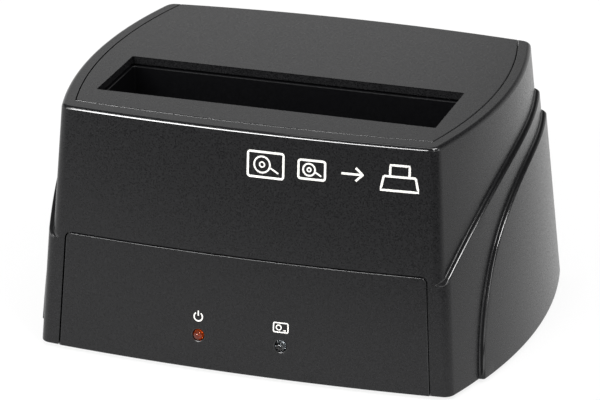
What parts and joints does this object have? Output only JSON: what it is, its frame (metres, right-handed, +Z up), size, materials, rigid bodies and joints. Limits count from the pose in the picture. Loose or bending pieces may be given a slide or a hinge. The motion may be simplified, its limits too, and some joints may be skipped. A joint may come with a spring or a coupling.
{
  "type": "hard drive docking station",
  "caption": "Desktop dock with a tapered black case, bowed front and stepped swoosh sides; a bare drive stands on end in the slot in its top.",
  "frame": {"origin": "on the floor under the middle of the case", "axes": "+X to the right seen from the front, +Y to the back, +Z up"},
  "size_m": [0.149, 0.105, 0.0744],
  "materials": {
    "shell_plastic": "satin moulded, very fine grain",
    "inner_plastic": "plain moulded black",
    "board": "solder mask on glass fibre",
    "connector_plastic": "plain moulded black",
    "gold_contact": "thin gold plating",
    "bright_steel": "bright plated",
    "port_blue": "moulded blue",
    "chip_epoxy": "moulded epoxy",
    "can_aluminium": "bright drawn can",
    "ferrite": "pressed ferrite",
    "amber_epoxy": "clear tinted dome",
    "clear_epoxy": "clear dome",
    "rubber": "matt",
    "screw_steel": "zinc plated"
  },
  "bodies": {
    "dock": {"housing": "shell_plastic", "top_panel": "shell_plastic", "front_panel": "shell_plastic", "rear_panel": "shell_plastic", "base_plate": "inner_plastic", "drive_well": "inner_plastic", "main_board": "board", "sata_connector": "connector_plastic", "sata_contacts": "gold_contact", "usb_shell": "bright_steel", "usb_insulator": "port_blue", "usb_contacts": "gold_contact", "dc_jack": "connector_plastic", "dc_contacts": "bright_steel", "switch_body": "connector_plastic", "switch_terminals": "bright_steel", "bridge_chip": "chip_epoxy", "flash_chip": "chip_epoxy", "crystal": "bright_steel", "regulator": "chip_epoxy", "power_coil": "ferrite", "capacitors": "can_aluminium", "power_led": "amber_epoxy", "activity_led": "clear_epoxy", "led_holders": "inner_plastic", "led_leads": "bright_steel", "rubber_feet": "rubber", "base_screws": "screw_steel", "board_screws": "screw_steel", "well_screws": "screw_steel"},
    "rocker": {"switch_rocker": "connector_plastic"}
  },
  "joints": [
    {"name": "power_rocker", "type": "hinge", "parent": "dock", "child": "rocker", "pos_m": [0.026, 0.0463, 0.0134], "axis": [0, 0, 1], "range_deg": [0, 20]}
  ]
}
